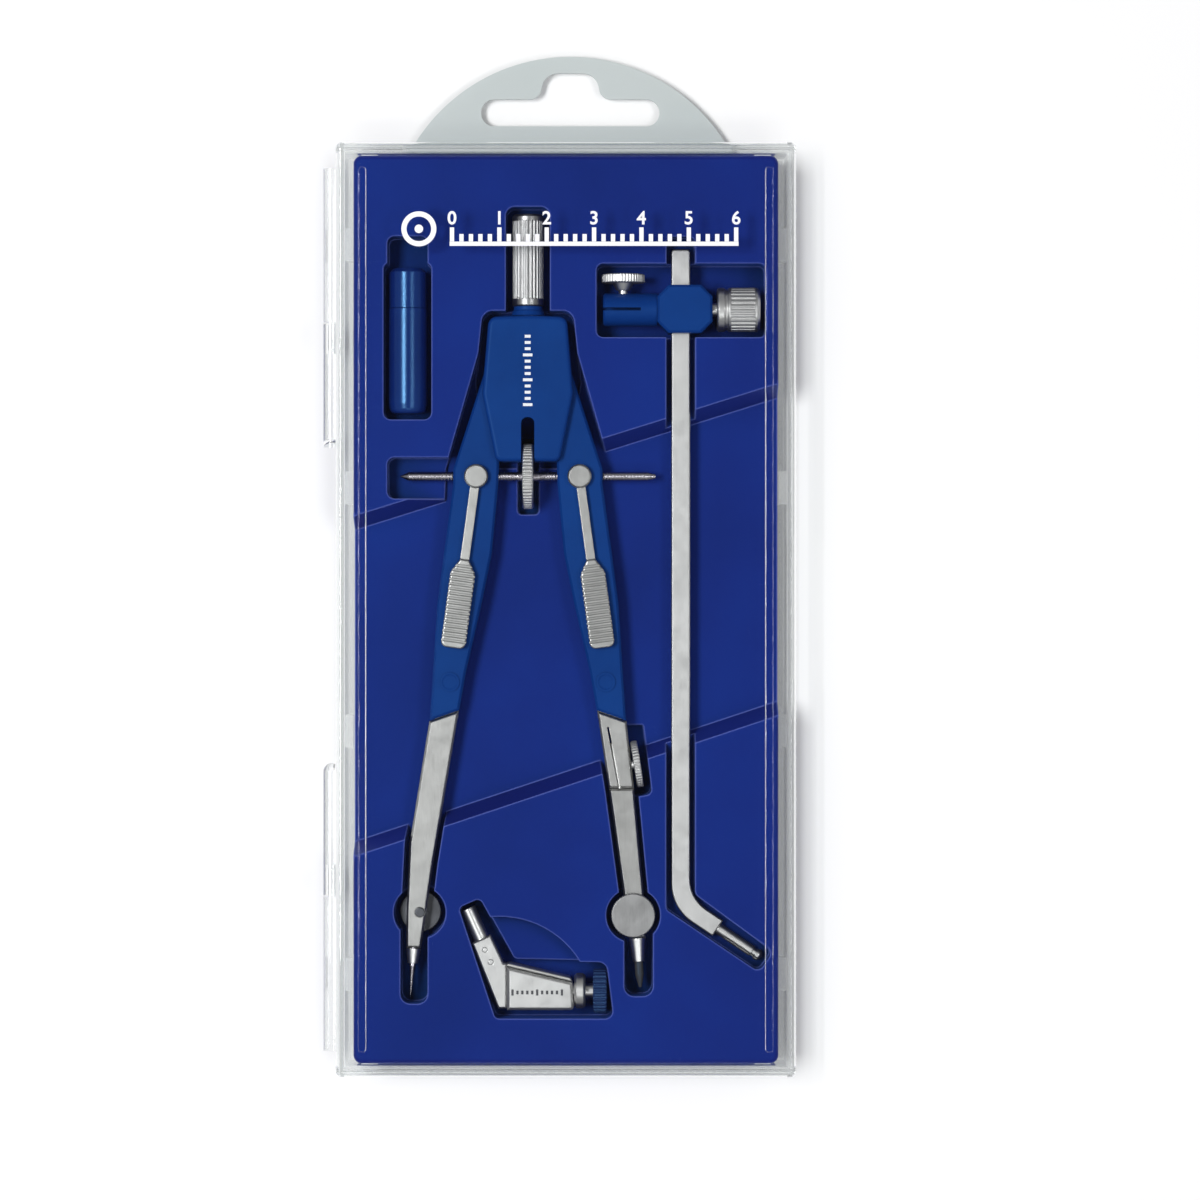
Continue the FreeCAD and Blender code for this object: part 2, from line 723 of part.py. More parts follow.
def flocked_tray():
    """Vacuum-formed sheet: an open-bottomed plate whose pockets hang below it as cups."""
    skin = size("tray_skin")
    top = size("tray_top")
    low = size("skirt_bottom")
    half_width = size("tray_width") / 2
    half_length = size("tray_length") / 2
    edge = wire_of(rounded(box_points(-half_width, half_width, -half_length, half_length),
                           size("tray_corner")))
    plate = prism(edge, low, top)
    rim = [item for item in plate.Edges if on_level(top)(item.BoundBox)]
    plate = plate.makeFillet(size("tray_rim_radius"), rim)
    envelope = prism(edge, 0.0, top)
    shell = plate.cut(prism(edge.makeOffset2D(-skin), low - 1, top - skin))
    outlines = [(wire_of(curves), floor) for curves, floor in case_pockets()]
    for curves, floor in compass_pockets():
        outline = wire_of(curves)
        outline.translate(Vector(COMPASS.x, COMPASS.y, 0))
        outlines.append((outline, floor))
    outlines.append((finger_recess(), size("finger_floor")))
    cups = []
    hollows = []
    for outline, floor in outlines:
        cups.append(prism(outline.makeOffset2D(skin), floor - skin, top).common(envelope))
        hollows.append(prism(outline, floor, top + 1))
    cups.append(band(size("band_floor") - skin, top, skin).common(envelope))
    hollows.append(band(size("band_floor"), top + 1, 0.0))
    cups = [cup.common(prism(edge, 0.0, top - skin / 2)) for cup in cups]
    formed = shell.multiFuse(cups).cut(Part.makeCompound(hollows)).removeSplitter()
    tray = doc.addObject("Part::Feature", "flocked_tray")
    tray.Label = "flocked_tray"
    tray.Shape = max(formed.Solids, key=lambda solid: solid.Volume)
    tray.Placement = Placement()
    sub_parts.append(tray)


# ---------------------------------------------------------------- compass head

def head_outline():
    right = [(8.3, 33.8, 2.0), (9.7, 17.4, 3.0), (6.8, 3.1, 1.6)]
    left = [(-x, y, r) for x, y, r in reversed(right)]
    return rounded([(0.0, 34.2, 6.0)] + right + left)


def head_cap(label, facing):
    """One half of the head: a cheek outside the legs and a solid crown at the top."""
    turn = Rotation() if facing > 0 else Rotation(ABOUT_Y, 180)
    body = new_body(label, Placement(COMPASS, turn))
    cheek = "dims.leg_thickness / 2 + dims.head_gap"
    sketch = draw(new_sketch(body, "cheek", ("0", "0", cheek)), head_outline())
    pad(body, sketch, "dims.cap_thickness")
    face = size("leg_thickness") / 2 + size("head_gap") + size("cap_thickness")
    soften(body, on_level(face), "0.9")
    crown = [(-8.3, 28.2), (8.3, 28.2), (8.3, 33.8, 2.0), (0.0, 34.2, 6.0), (-8.3, 33.8, 2.0)]
    crown_sketch = draw(new_sketch(body, "crown", ("0", "0", "0.02")), rounded(crown))
    pad(body, crown_sketch, f"{cheek} + 0.4")
    slot = rounded([(-1.4, -1.0), (1.4, -1.0), (1.4, 12.5, 1.3), (-1.4, 12.5, 1.3)])
    above = ("0", "0", f"{cheek} + dims.cap_thickness")
    pocket(body, draw(new_sketch(body, "wheel_slot", above), slot), "dims.cap_thickness + 0.5")
    for sign in ("", "-"):
        at = (f"{sign}dims.pivot_u", "dims.pivot_v", cheek)
        cylinder(body, "dims.pivot_radius + 0.03", "1.1", at, cut=True)
    cylinder(body, "1.45", "8", ("0", "28", "0"), ALONG_Y, cut=True)


def compass_neck():
    profile = [(1.45, 0.0), (3.6, 0.0), (3.35, 0.9), (3.05, 1.2), (3.05, 1.95), (1.45, 1.95)]
    body = new_body("compass_neck", at_compass(0, 34.23, 0, ALONG_Y))
    revolve(body, rounded(profile))


def compass_handle():
    """Fluted steel grip with the stem that the head is fixed to."""
    body = new_body("compass_handle", at_compass(0, size("handle_start"), 0, ALONG_Y))
    radius = size("handle_radius")
    length = size("handle_length")
    profile = [
        (0.0, -7.6), (1.4, -7.6), (1.4, 0.0), (radius - 0.3, 0.0), (radius, 0.3),
        (radius, length - 0.5), (radius - 0.5, length), (0.0, length),
    ]
    revolve(body, rounded(profile))
    flute_at = ("dims.handle_radius + 0.1", "0", "1.6")
    flute = cylinder(body, "0.3", "dims.handle_length - 3.0", flute_at, cut=True)
    ring_of(body, flute, "dims.handle_flutes")


def pivot_pins():
    items = [
        part_cylinder(f"pivot_pin_{index}", "dims.pivot_radius", "6.4",
                      (side * size("pivot_u"), size("pivot_v"), -3.2))
        for index, side in enumerate((-1, 1), start=1)
    ]
    group_of("pivot_pins", items, COMPASS_PLACE)


# ---------------------------------------------------------------- compass legs

def side_name(side):
    return "left" if side < 0 else "right"


def leg(side):
    """Upper leg with its pivot hub, spindle and nut bores and the fork of the knee."""
    body = new_body(f"leg_{side_name(side)}", COMPASS_PLACE)
    radius = size("hub_radius")
    inner_u = size("pivot_u") - radius
    outer_u = size("pivot_u") + radius
    hub_top = size("pivot_v") + radius
    outline = [
        (inner_u, hub_top, radius * 0.99), (outer_u, hub_top, radius * 0.99),
        (9.2, 22.3, 3.0), (15.9, 1.5, 1.5), (15.9, -1.8, 1.5), (17.9, -16.6, 8.0),
        (19.3, -27.3, 8.0), (20.2, -41.7, 8.0), (20.9, -52.0), (14.65, -49.8),
        (13.2, -41.7, 8.0), (9.9, -27.3, 8.0), (7.7, -16.6, 8.0), (6.3, -1.7, 3.0),
        (6.0, 8.0, 3.0), (2.6, 19.6, 2.0), (inner_u, 21.6, 1.0),
    ]
    low = ("0", "0", "-dims.leg_thickness / 2")
    sketch = draw(new_sketch(body, "outline", low), rounded(mirrored(outline, side)))
    pad(body, sketch, "dims.leg_thickness")
    half = size("leg_thickness") / 2
    soften(body, on_levels(half, -half), "dims.leg_chamfer", "Chamfer")
    below = "-dims.leg_thickness"
    deep = "2 * dims.leg_thickness"
    pivot = (f"{side} * dims.pivot_u", "dims.pivot_v", below)
    cylinder(body, "dims.pivot_radius + dims.screw_fit", deep, pivot, cut=True)
    cylinder(body, "dims.nut_radius + 0.03", deep, (f"{side} * dims.nut_u", "0", below), cut=True)
    cylinder(body, "dims.nut_bore + 0.05", "40", ("-20", "0", "0"), ALONG_X, cut=True)
    fork = (f"{17 * side} - 7.5", "-56", "-dims.fork_gap / 2")
    block(body, "15", "15.2", "dims.fork_gap", fork, cut=True)
    knee = (f"{side} * dims.knee_u", "-dims.knee_v", below)
    cylinder(body, "dims.knee_bore", deep, knee, cut=True)


def spindle_nut(side):
    """Trunnion nut that follows the spindle's thread and swivels in the leg."""
    body = new_body(f"spindle_nut_{side_name(side)}", at_compass(side * size("nut_u"), 0))
    cylinder(body, "dims.nut_radius", "4.2", ("0", "0", "-2.1"))
    cylinder(body, "dims.nut_bore", "8", ("-4", "0", "0"), ALONG_X, cut=True)
    cylinder(body, "dims.screw_radius + dims.screw_fit", "2", ("0", "0", "1.35"), cut=True)


def knee_rivet(side):
    place = at_compass(side * size("knee_u"), -size("knee_v"))
    body = new_body(f"knee_rivet_{side_name(side)}", place)
    profile = [
        (0.0, -2.2), (1.5, -2.2), (1.5, 2.2), (2.1, 2.2), (2.1, 2.4), (1.6, 2.4),
        (1.5, 2.3), (0.0, 2.3),
    ]
    revolve(body, rounded(profile))


def lower_leg(label, side, outline):
    """Metal lower leg with the flat blade that sits in the knee's fork."""
    body = new_body(label, COMPASS_PLACE)
    low = ("0", "0", "-dims.lower_leg_thickness / 2")
    sketch = draw(new_sketch(body, "outline", low), rounded(mirrored(outline, side)))
    pad(body, sketch, "dims.lower_leg_thickness")
    half = size("lower_leg_thickness") / 2
    soften(body, on_levels(half, -half), "dims.lower_leg_chamfer", "Chamfer")
    blade = [(14.9, -51.5), (14.3, -41.4, 2.4), (19.0, -41.2, 2.4), (20.0, -53.0)]
    blade_low = ("0", "0", "-dims.tongue_blade / 2")
    sketch = draw(new_sketch(body, "blade", blade_low), rounded(mirrored(blade, side)))
    pad(body, sketch, "dims.tongue_blade")
    knee = (f"{side} * dims.knee_u", "-dims.knee_v", "-4")
    cylinder(body, "dims.knee_bore", "8", knee, cut=True)
    return body


NEEDLE_TURN = Rotation(ABOUT_Z, -size("needle_tilt")).multiply(ALONG_MINUS_Y)
LEAD_TURN = Rotation(ABOUT_Z, size("lead_tilt")).multiply(ALONG_MINUS_Y)


def needle_leg():
    outline = [
        (14.75, -50.0), (21.0, -52.15), (25.2, -78.2, 6.0), (25.85, -93.4, 6.0),
        (25.9, -100.4), (22.8, -100.4), (22.1, -95.6, 4.0), (20.2, -82.5, 6.0),
    ]
    body = lower_leg("needle_leg", -1, outline)
    screw_at = ("-dims.needle_screw_u", "-dims.needle_screw_v", "-4")
    cylinder(body, "dims.screw_radius + dims.screw_fit", "8", screw_at, cut=True)
    bore_at = ("-dims.needle_bore_u", "-dims.needle_bore_v", "0")
    cylinder(body, "dims.needle_bore", "5", bore_at, NEEDLE_TURN, cut=True)


def along_needle(distance):
    """A place on the needle's axis, measured down from the end of its bore."""
    slope = math.radians(size("needle_tilt"))
    u = -size("needle_bore_u") - distance * math.sin(slope)
    v = -size("needle_bore_v") - distance * math.cos(slope)
    return at_compass(u, v, 0, NEEDLE_TURN)


def needle_collar():
    body = new_body("needle_collar", along_needle(2.5))
    cone(body, "1.6", "1.05", "3.2")
    cylinder(body, "dims.needle_bore", "4.5", ("0", "0", "-0.5"), cut=True)


def needle():
    """Steel point: a plain shank ground to a sharp tip."""
    body = new_body("needle", along_needle(0.1))
    profile = [(0.0, 0.0), (0.7, 0.0), (0.7, 6.2), (0.55, 6.8), (0.04, 12.6), (0.0, 12.6)]
    revolve(body, rounded(profile))


def socket_leg():
    outline = [(14.75, -50.0), (21.0, -52.15), (22.6, -66.4), (17.2, -66.4)]
    body = lower_leg("socket_leg", 1, outline)
    turn = Rotation(ABOUT_Z, size("socket_tilt")).multiply(ALONG_MINUS_Y)
    cylinder(body, "dims.spigot_radius + 0.03", "12", ("18.05", "-55.8", "0"), turn, cut=True)
    slit = Rotation(ABOUT_Z, 10.6)
    block(body, "0.4", "15", "8", ("19.6", "-68.2", "-4"), slit, cut=True)
    across = Rotation(ABOUT_Z, size("socket_tilt")).multiply(ALONG_X)
    screw_at = ("19.6", "-61.9", "0")
    cylinder(body, "dims.screw_radius + dims.screw_fit", "5", screw_at, across, cut=True)


def lead_insert():
    """Removable insert with the round spigot that the leg's socket clamps."""
    body = new_body("lead_insert", COMPASS_PLACE)
    outline = [
        (17.25, -66.5), (22.6, -66.5), (24.6, -88.4, 5.0), (25.1, -98.2), (21.2, -98.2),
        (20.3, -88.4, 5.0),
    ]
    low = ("0", "0", "-dims.lower_leg_thickness / 2")
    sketch = draw(new_sketch(body, "outline", low), rounded(outline))
    pad(body, sketch, "dims.lower_leg_thickness")
    half = size("lower_leg_thickness") / 2
    soften(body, on_levels(half, -half), "dims.lower_leg_chamfer", "Chamfer")
    turn = Rotation(ABOUT_Z, size("socket_tilt")).multiply(ALONG_MINUS_Y)
    cylinder(body, "dims.spigot_radius", "10.6", ("18.2", "-56.8", "0"), turn)
    screw_at = ("dims.lead_screw_u", "-dims.lead_screw_v", "-4")
    cylinder(body, "dims.screw_radius + dims.screw_fit", "8", screw_at, cut=True)
    bore_at = ("dims.lead_bore_u", "-dims.lead_bore_v", "0")
    cylinder(body, "dims.lead_bore", "5", bore_at, LEAD_TURN, cut=True)


def along_lead(distance):
    """A place on the lead's axis, measured down from the end of its bore."""
    slope = math.radians(size("lead_tilt"))
    u = size("lead_bore_u") + distance * math.sin(slope)
    v = -size("lead_bore_v") - distance * math.cos(slope)
    return at_compass(u, v, 0, LEAD_TURN)


def lead_cone():
    body = new_body("lead_cone", along_lead(3.2))
    cone(body, "1.75", "1.2", "5.0")
    cylinder(body, "dims.lead_bore", "7", ("0", "0", "-1"), cut=True)


def graphite_lead():
    body = new_body("graphite_lead", along_lead(0.1))
    profile = [(0.0, 0.0), (0.9, 0.0), (0.9, 11.0), (0.3, 13.6), (0.0, 13.6)]
    revolve(body, rounded(profile))


# ---------------------------------------------------------------- spindle and levers

def spindle():
    """Adjusting spindle with a ring-cut thread on each side of its plain middle."""
    body = new_body("spindle", Placement(COMPASS, ALONG_X))
    reach = size("spindle_reach")
    radius = size("spindle_radius")
    pitch = size("thread_pitch")
    root = radius - size("thread_depth")
    plain = 2.2
    turns = int((reach - 1.6 - plain) / pitch)
    right_half = [(radius, plain)]
    for index in range(turns):
        start = plain + index * pitch
        right_half += [(root, start + pitch / 2), (radius, start + pitch)]
    left_half = [(r, -z) for r, z in reversed(right_half)]
    profile = [(0.0, -reach), (0.12, -reach)] + left_half + right_half
    profile += [(0.45, reach), (0.0, reach)]
    revolve(body, rounded(profile))


def adjusting_wheel():
    body = new_body("adjusting_wheel", Placement(COMPASS, ALONG_X))
    half = size("wheel_width") / 2
    radius = size("wheel_radius")
    profile = [
        (1.03, -half), (radius - 0.35, -half), (radius, 0.35 - half), (radius, half - 0.35),
        (radius - 0.35, half), (1.03, half),
    ]
    revolve(body, rounded(profile))
    notch_at = ("dims.wheel_radius + 0.08", "0", "-dims.wheel_width / 2")
    notch = cylinder(body, "0.28", "dims.wheel_width", notch_at, cut=True)
    ring_of(body, notch, "dims.wheel_notches")


def release_lever(side):
    """Quick-release lever: knob over the nut, a thin bar and a ribbed finger pad."""
    tilt = Rotation(ABOUT_Z, side * size("lever_angle"))
    body = new_body(f"release_lever_{side_name(side)}", at_compass(side * size("nut_u"), 0, 0, tilt))
    level = "dims.leg_thickness / 2 + dims.head_gap"
    low = size("leg_thickness") / 2 + size("head_gap")
    half_bar = size("lever_bar_width") / 2
    half_pad = size("lever_pad_width") / 2
    near = -size("lever_pad_start")
    far = -size("lever_pad_end")
    bar = rounded(box_points(-half_bar, half_bar, near - 2.0, 0.0))
    pad(body, draw(new_sketch(body, "bar", ("0", "0", level)), bar), "dims.lever_bar_thickness")
    shoulder = near - size("lever_shoulder")
    grip = [
        (-half_pad, far, 1.3), (half_pad, far, 1.3), (half_pad, shoulder, 1.5), (half_bar, near),
        (-half_bar, near), (-half_pad, shoulder, 1.5),
    ]
    grip_sketch = draw(new_sketch(body, "grip", ("0", "0", level)), rounded(grip))
    pad(body, grip_sketch, "dims.lever_pad_thickness")
    soften(body, on_level(low + size("lever_pad_thickness")), "0.4")
    cylinder(body, "dims.lever_knob_radius", "dims.lever_knob_thickness", ("0", "0", level))
    on_knob = on_level(low + size("lever_knob_thickness"))
    soften(body, lambda box: on_knob(box) and box.YMax > 0, "0.35", "Chamfer")
    cylinder(body, "dims.screw_radius", f"{level} - 1.4", ("0", "0", "1.4"))
    groove_at = ("0", "1.5 - dims.lever_pad_end", f"{level} + dims.lever_pad_thickness")
    groove = rectangle(new_sketch(body, "groove", groove_at), "dims.lever_pad_width + 1",
                       "dims.lever_rib_pitch / 2")
    cut = pocket(body, groove, "dims.lever_groove_depth")
    ribs = body.newObject("PartDesign::LinearPattern", "ribs")
    ribs.Originals = [cut]
    ribs.Direction = (groove, ["V_Axis"])
    ribs.setExpression("Length", "dims.lever_rib_pitch * (dims.lever_rib_count - 1)")
    ribs.setExpression("Occurrences", "dims.lever_rib_count")
    body.Tip = ribs


def knurled_screw(label, placement, radius, thickness, stem_length, stem_radius="dims.screw_radius",
                  count="dims.knurl_count"):
    """Thumb screw: knurled disc from z = 0 upwards and a plain stem below it."""
    body = new_body(label, placement)
    cylinder(body, radius, thickness)
    doc.recompute()
    top = float(body.Tip.Height)
    soften(body, on_levels(0.0, top), "0.2", "Chamfer")
    notch = cylinder(body, "0.2", f"{thickness} + 0.4", (f"{radius} + 0.06", "0", "-0.2"), cut=True)
    ring_of(body, notch, count)
    cylinder(body, stem_radius, f"{stem_length} + 0.3", ("0", "0", f"-({stem_length})"))
    return body


def clamp_screws():
    under = Rotation(ABOUT_X, 180)
    place = at_compass(-size("needle_screw_u"), -size("needle_screw_v"), -1.9, under)
    knurled_screw("needle_clamp_screw", place, "4.5", "1.6", "4.15")
    place = at_compass(size("lead_screw_u"), -size("lead_screw_v"), 1.9)
    knurled_screw("lead_clamp_screw", place, "4.7", "1.7", "4.0")
    # the socket's screw lies across the leg, so its disc is seen edge-on
    across = Rotation(ABOUT_Z, size("socket_tilt")).multiply(ALONG_X)
    place = at_compass(22.55, -61.43, 0, across)
    knurled_screw("socket_clamp_screw", place, "5.0", "1.45", "2.2")


# ---------------------------------------------------------------- extension bar

def bend_directions():
    """Unit vectors along the bent tail of the bar and across it."""
    angle = math.radians(-90 + size("bar_bend_angle"))
    along = Vector(math.cos(angle), math.sin(angle), 0)
    return along, Vector(-along.y, along.x, 0)


BEND = Vector(size("bar_x"), size("bar_bend_y"), size("tool_plane"))


def extension_bar():
    body = new_body("extension_bar", Placement(BEND, Rotation()))
    along, across = bend_directions()
    half = size("bar_width") / 2
    top = size("bar_top") - size("bar_bend_y")
    lean = half * math.tan(math.radians(size("bar_bend_angle") / 2))
    outer_end = along * size("bar_tail") + across * -half
    inner_end = along * size("bar_tail") + across * half
    radius = size("bar_bend_radius")
    outline = [
        (half, top, 0.6), (-half, top, 0.6), (-half, -lean, radius + half),
        (outer_end.x, outer_end.y), (inner_end.x, inner_end.y), (half, lean, radius - half),
    ]
    low = ("0", "0", "-dims.bar_thickness / 2")
    pad(body, draw(new_sketch(body, "outline", low), rounded(outline)), "dims.bar_thickness")
    level = size("bar_thickness") / 2
    soften(body, on_levels(level, -level), "0.25", "Chamfer")


def bar_spigot():
    """Split round spigot that plugs into the compass leg's socket."""
    along, across = bend_directions()
    start = BEND + along * (size("bar_tail") + 0.02)
    turn = Rotation(Vector(0, 0, 1), along)
    body = new_body("bar_spigot", Placement(start, turn))
    radius = size("spigot_radius")
    length = size("spigot_length")
    profile = [
        (0.0, 0.0), (radius, 0.0), (radius, length - 2.6), (radius - 0.25, length - 2.4),
        (radius - 0.25, length - 1.8), (radius, length - 1.6), (radius, length - 0.7, 0.6),
        (0.0, length),
    ]
    revolve(body, rounded(profile))
    slot_at = ("-2", "-0.18", "dims.spigot_length - 9")
    block(body, "4", "0.36", "10", slot_at, cut=True)


# ---------------------------------------------------------------- slider

SLIDER = Vector(size("slider_x"), size("slider_y"), size("tool_plane"))


def slider_body():
    body = new_body("slider_body", Placement(SLIDER, Rotation()))
    half_x = size("slider_width") / 2
    half_y = size("slider_length") / 2
    cut = size("slider_chamfer")
    outline = [
        (half_x, half_y - cut), (half_x - cut, half_y),
        (cut - half_x, half_y), (-half_x, half_y - cut),
        (-half_x, cut - half_y), (cut - half_x, -half_y),
        (half_x - cut, -half_y), (half_x, cut - half_y),
    ]
    low = ("0", "0", "-dims.slider_depth / 2")
    pad(body, draw(new_sketch(body, "outline", low), rounded(outline)), "dims.slider_depth")
    level = size("slider_depth") / 2
    soften(body, on_levels(level, -level), "0.5", "Chamfer")
    bar_width = "dims.bar_width + 2 * dims.slider_play"
    bar_depth = "dims.bar_thickness + 2 * dims.slider_play"
    at = (f"dims.bar_x - dims.slider_x - ({bar_width}) / 2", "-10", f"-({bar_depth}) / 2")
    block(body, bar_width, "20", bar_depth, at, cut=True)
    cylinder(body, "1.55", "10", ("1.5", "0", "0"), ALONG_X, cut=True)


def slider_socket():
    """Split round socket on the slider's left, for a pen or a point."""
    length = "dims.slider_x - dims.slider_width / 2 - dims.slider_socket_end"
    body = new_body("slider_socket", Placement(SLIDER, Rotation()))
    start = "dims.slider_socket_end - dims.slider_x"
    cylinder(body, "dims.slider_socket_radius", f"{length} - 0.02", (start, "0", "0"), ALONG_X)
    doc.recompute()
    outer_x = size("slider_socket_end") - size("slider_x")
    soften(body, lambda box: box.XMax < outer_x + 1e-3, "0.4", "Chamfer")
    cylinder(body, "dims.slider_socket_bore", "10", (f"{start} - 1", "0", "0"), ALONG_X, cut=True)
    block(body, "9", "0.6", "8", (f"{start} - 1", "-0.3", "0"), cut=True)
    at = (f"{start} + 4.3", "1", "0")
    cylinder(body, "dims.screw_radius + dims.screw_fit", "5", at, ALONG_Y, cut=True)


def slider_screws():
    down = Rotation(ABOUT_X, -90)
    thumb_x = size("slider_socket_end") + 4.3
    place = Placement(Vector(thumb_x, 69.6, size("tool_plane")), down)
    screw = knurled_screw("slider_thumb_screw", place, "4.6", "1.85", "3.4")
    cone(screw, "1.4", "2.3", "1.6", ("0", "0", "-1.6"))

    # fluted lock knob on a stud that presses on the bar
    face = size("slider_x") + size("slider_width") / 2 + 1.05
    place = Placement(Vector(face, size("slider_y"), size("tool_plane")), ALONG_X)
    body = new_body("slider_lock_knob", place)
    radius = size("lock_knob_radius")
    length = size("lock_knob_length")
    profile = [
        (1.55, 0.0), (radius - 0.3, 0.0), (radius, 0.3), (radius, 1.5), (radius - 0.3, 1.8),
        (radius - 0.3, 2.2), (radius, 2.5), (radius, length - 0.6), (radius - 0.6, length),
        (1.2, length), (1.2, length - 0.5), (1.55, length - 0.5),
    ]
    revolve(body, rounded(profile))
    flute_at = ("dims.lock_knob_radius + 0.15", "0", "2.9")
    flute = cylinder(body, "0.4", "dims.lock_knob_length - 4.0", flute_at, cut=True)
    ring_of(body, flute, "dims.lock_knob_flutes")

    stud = doc.addObject("Part::Cylinder", "slider_lock_stud")
    stud.Label = "slider_lock_stud"
    stud.setExpression("Radius", "dims.lock_stud_radius")
    stud.setExpression("Height", "dims.lock_knob_length + 4.2")
    stud.Placement = Placement(Vector(face - 4.8, size("slider_y"), size("tool_plane")), ALONG_X)
    sub_parts.append(stud)


# ---------------------------------------------------------------- adapter

def adapter_plate(label, outline, thickness, chamfer):
    """Flat plate centred on the tool plane; thickness is the name of a spreadsheet cell."""
    body = new_body(label, Placement(Vector(0, 0, size("tool_plane")), Rotation()))
    low = ("0", "0", f"-dims.{thickness} / 2")
    pad(body, draw(new_sketch(body, "outline", low), rounded(outline)), f"dims.{thickness}")
    half = size(thickness) / 2
    soften(body, on_levels(half, -half), chamfer, "Chamfer")
    return body


ADAPTER_RIVETS = ((-17.25, -72.4), (-16.0, -75.0))


def adapter_arm():
    """Leaning arm with the round spigot that fits the compass leg's socket."""
    outline = [(-19.95, -71.05), (-16.1, -69.3), (-13.3, -75.25), (-12.6, -75.35), (-12.6, -84.9),
               (-14.4, -84.9)]
    body = adapter_plate("adapter_arm", outline, "adapter_arm_thickness", "0.35")
    turn = Rotation(Vector(0, 0, 1), Vector(-0.414, 0.91, 0))
    cylinder(body, "1.65", "7.4", ("-17.86", "-70.5", "0"), turn)
    for x, y in ADAPTER_RIVETS:
        at = (str(x), str(y), "-5")
        cylinder(body, "dims.adapter_rivet_radius + 0.03", "10", at, cut=True)


def adapter_rivets():
    height = size("adapter_arm_thickness") + 0.3
    items = [
        part_cylinder(f"adapter_rivet_{index}", "dims.adapter_rivet_radius",
                      "dims.adapter_arm_thickness + 0.3",
                      (x, y, size("tool_plane") - height / 2))
        for index, (x, y) in enumerate(ADAPTER_RIVETS, start=1)
    ]
    group_of("adapter_rivets", items)


def adapter_body():
    outline = [(-12.55, -76.0), (1.4, -79.3), (1.7, -85.2, 0.8), (-12.55, -85.2)]
    body = adapter_plate("adapter_body", outline, "adapter_thickness", "0.6")
    cylinder(body, "1.55", "16", ("-7", "dims.adapter_axis_y", "0"), ALONG_X, cut=True)


def adapter_jaw():
    outline = [(-12.55, -75.3), (-11.9, -75.25), (0.9, -78.25, 0.4), (1.3, -79.05),
               (-12.55, -75.8)]
    adapter_plate("adapter_jaw", outline, "adapter_thickness", "0.2")


def adapter_turned_pieces():
    """Collar, clamp screw and knurled nut, all on the adapter's long axis."""
    def on_axis(x):
        return Placement(Vector(x, size("adapter_axis_y"), size("tool_plane")), ALONG_X)

    collar = new_body("adapter_collar", on_axis(1.75))
    radius = size("adapter_collar_radius")
    profile = [(1.55, 0.0), (radius - 0.5, 0.0), (radius, 0.5), (radius, 1.9), (radius - 0.5, 2.4),
               (1.55, 2.4)]
    revolve(collar, rounded(profile))

    screw = doc.addObject("Part::Cylinder", "adapter_screw")
    screw.Label = "adapter_screw"
    screw.setExpression("Radius", "dims.adapter_screw_radius")
    screw.Height = 14.0
    screw.Placement = on_axis(-6.0)
    sub_parts.append(screw)

    nut = new_body("adapter_nut", on_axis(5.76))
    bore = size("adapter_screw_radius") + 0.06
    radius = size("adapter_nut_radius")
    width = size("adapter_nut_width")
    profile = [(bore, 0.0), (radius - 0.3, 0.0), (radius, 0.3), (radius, width - 0.3),
               (radius - 0.3, width), (bore, width)]
    revolve(nut, rounded(profile))
    notch_at = ("dims.adapter_nut_radius + 0.1", "0", "-0.2")
    notch = cylinder(nut, "0.4", "dims.adapter_nut_width + 0.4", notch_at, cut=True)
    ring_of(nut, notch, "dims.adapter_nut_notches")


# ---------------------------------------------------------------- lead tube

def tube_place(y, turn):
    return Placement(Vector(size("tube_x"), y, size("tool_plane")), turn)


def lead_tube():
    body = new_body("lead_tube", tube_place(size("tube_bottom"), ALONG_Y))
    radius = size("tube_radius")
    bore = size("tube_bore")
    length = size("tube_joint") - size("tube_bottom")
    profile = [
        (0.0, 0.0), (radius - 0.3, 0.0, 1.6), (radius, 2.2, 2.0), (radius, length),
        (bore + 0.35, length), (bore + 0.35, length + 5.0), (bore, length + 5.0), (bore, 1.4),
        (0.0, 1.4),
    ]
    revolve(body, rounded(profile))


def lead_tube_cap():
    body = new_body("lead_tube_cap", tube_place(size("tube_joint") + 0.1, ALONG_Y))
    radius = size("tube_radius") - 0.1
    bore = size("tube_bore") + 0.4
    length = size("tube_top") - size("tube_joint") - 0.1
    profile = [
        (bore, 0.0), (radius, 0.0), (radius, length - 0.8), (radius - 0.8, length), (0.0, length),
        (0.0, length - 1.2), (bore, length - 1.2),
    ]
    revolve(body, rounded(profile))


def spare_leads():
    spread = 1.25
    items = []
    for index in range(3):
        angle = math.radians(90 + 120 * index)
        at = (size("tube_x") + spread * math.cos(angle), size("tube_bottom") + 1.8,
              size("tool_plane") + spread * math.sin(angle))
        name = f"spare_lead_{index + 1}"
        items.append(part_cylinder(name, "dims.spare_lead_radius", "22", at, ALONG_Y))
    group_of("spare_leads", items)


# ---------------------------------------------------------------- build and write

base_shell()
lid_shell()
hang_tab()
flocked_tray()
head_cap("head_cap_front", 1)
head_cap("head_cap_rear", -1)
compass_neck()
compass_handle()
pivot_pins()
for hand in (-1, 1):
    leg(hand)
    spindle_nut(hand)
    knee_rivet(hand)
    release_lever(hand)
needle_leg()
needle_collar()
needle()
socket_leg()
lead_insert()
lead_cone()
graphite_lead()
spindle()
adjusting_wheel()
clamp_screws()
extension_bar()
bar_spigot()
slider_body()
slider_socket()
slider_screws()
adapter_arm()
adapter_rivets()
adapter_body()
adapter_jaw()
adapter_turned_pieces()
lead_tube()
lead_tube_cap()
spare_leads()
doc.recompute()


